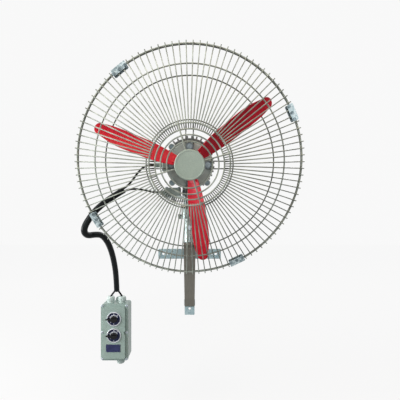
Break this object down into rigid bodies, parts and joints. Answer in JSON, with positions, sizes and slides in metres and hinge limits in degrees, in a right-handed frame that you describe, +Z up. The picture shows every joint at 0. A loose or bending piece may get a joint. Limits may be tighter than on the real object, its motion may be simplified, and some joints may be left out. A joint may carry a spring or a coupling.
{
  "type": "wall mounted fan",
  "caption": "Industrial wall fan: a wire-caged rotor on a finned motor that tilts and swings on a welded wall bracket, with a sleeved cable down to a rotary switch box.",
  "frame": {"origin": "middle of the bracket's cross bar, on the wall plane that all the mounts share", "axes": "+Z up, +X to the right as one faces the fan, the fan blows towards -Y and the wall is the plane y = 0"},
  "size_m": [0.7021, 0.4387, 1.0762],
  "materials": {
    "galvanised_bar": "zinc-plated strip, blue-grey",
    "galvanised_pipe": "bright zinc-plated tube and castings",
    "strut_steel": "brown-grey steel section, satin",
    "zinc_screw": "zinc-plated fasteners",
    "motor_casting": "grey painted cast aluminium",
    "green_casting": "grey-green hammer paint",
    "guard_wire": "pale warm grey powder coat",
    "red_blade": "gloss red paint",
    "machined_steel": "turned steel",
    "stator_steel": "laminated stack with varnished windings",
    "bronze": "sintered bronze",
    "black_rubber": "black PVC sleeve and cable",
    "black_plastic": "black moulded plastic",
    "box_paint": "pale grey-green paint",
    "gasket_rubber": "soft seal",
    "silver_bezel": "bright turned ring",
    "navy_dial": "navy enamelled plate with white marks"
  },
  "bodies": {
    "bracket": {"wall_cross_bar": "galvanised_bar", "foot_plate": "galvanised_bar", "wall_upright": "strut_steel", "support_arm": "strut_steel", "diagonal_strut": "strut_steel", "post": "galvanised_pipe", "post_spigot": "galvanised_pipe", "post_screw": "zinc_screw", "swivel_collar": "galvanised_pipe", "pivot_bush": "bronze", "thrust_washer": "bronze", "box_body": "box_paint", "box_lid": "box_paint", "lid_gasket": "gasket_rubber", "lid_screws": "zinc_screw", "box_glands": "box_paint", "face_plates": "navy_dial", "dial_bezels": "silver_bezel", "switch_blocks": "black_plastic", "cable_sleeve": "black_rubber", "box_leads": "black_rubber"},
    "lock_screw": {"lock_knob": "green_casting"},
    "fan_switch": {"fan_switch_knob": "black_plastic"},
    "swing_switch": {"swing_switch_knob": "black_plastic"},
    "swivel": {"swivel_neck": "galvanised_pipe", "gearbox_housing": "green_casting", "gearbox_cover": "green_casting", "gearbox_screws": "zinc_screw", "swing_gearmotor": "stator_steel", "swing_cable_gland": "black_plastic", "swing_cable": "black_rubber"},
    "crank_arm": {"crank": "machined_steel"},
    "link": {"drive_link": "machined_steel"},
    "head": {"tilt_saddle": "motor_casting", "tilt_bolt": "zinc_screw", "motor_body": "motor_casting", "motor_front_shield": "motor_casting", "motor_rear_shield": "motor_casting", "motor_rear_cover": "motor_casting", "shield_bolts": "zinc_screw", "shaft_bearings": "machined_steel", "stator": "stator_steel", "terminal_cover": "motor_casting", "small_screws": "zinc_screw", "motor_cable_gland": "black_plastic", "motor_cable": "black_rubber", "front_guard_wires": "guard_wire", "front_guard_rings": "guard_wire", "back_guard_wires": "guard_wire", "back_guard_rings": "guard_wire", "guard_loops": "guard_wire", "hex_bolts": "zinc_screw", "centre_cap": "green_casting", "cap_clamp": "green_casting", "guard_clips": "galvanised_pipe", "clip_bolts": "zinc_screw"},
    "rotor": {"motor_rotor": "machined_steel", "blade_hub": "motor_casting", "hub_fasteners": "zinc_screw", "fan_blades": "red_blade"}
  },
  "joints": [
    {"name": "oscillation", "type": "hinge", "parent": "bracket", "child": "swivel", "pos_m": [0, -0.18, 0.184], "axis": [0, 0, 1], "range_deg": [-30, 30], "deforming": ["cable_sleeve"]},
    {"name": "tilt", "type": "hinge", "parent": "swivel", "child": "head", "pos_m": [0, -0.18, 0.231], "axis": [1, 0, 0], "range_deg": [-10, 2], "deforming": ["motor_cable"]},
    {"name": "rotor_spin", "type": "hinge", "parent": "head", "child": "rotor", "pos_m": [0, -0.31092, 0.30411], "axis": [0, -0.9839, -0.1788], "continuous": true},
    {"name": "crank_turn", "type": "hinge", "parent": "swivel", "child": "crank_arm", "pos_m": [-0.058, -0.17, 0.215], "axis": [0, 0, 1], "range_deg": [-41, 41]},
    {"name": "link_turn", "type": "hinge", "parent": "crank_arm", "child": "link", "pos_m": [-0.058, -0.144, 0.2045], "axis": [0, 0, 1], "range_deg": [-41, 41]},
    {"name": "lock_knob_turn", "type": "hinge", "parent": "bracket", "child": "lock_screw", "pos_m": [-0.03, -0.18, 0.149], "axis": [-1, 0, 0], "range_deg": [0, 270]},
    {"name": "fan_switch_turn", "type": "hinge", "parent": "bracket", "child": "fan_switch", "pos_m": [-0.289, -0.078, -0.241], "axis": [0, -1, 0], "range_deg": [0, 90]},
    {"name": "swing_switch_turn", "type": "hinge", "parent": "bracket", "child": "swing_switch", "pos_m": [-0.289, -0.078, -0.304], "axis": [0, -1, 0], "range_deg": [0, 90]}
  ],
  "couplings": [
    {"joint": "crank_turn", "follows": "oscillation", "ratio": -1.344},
    {"joint": "link_turn", "follows": "oscillation", "ratio": 1.344}
  ]
}
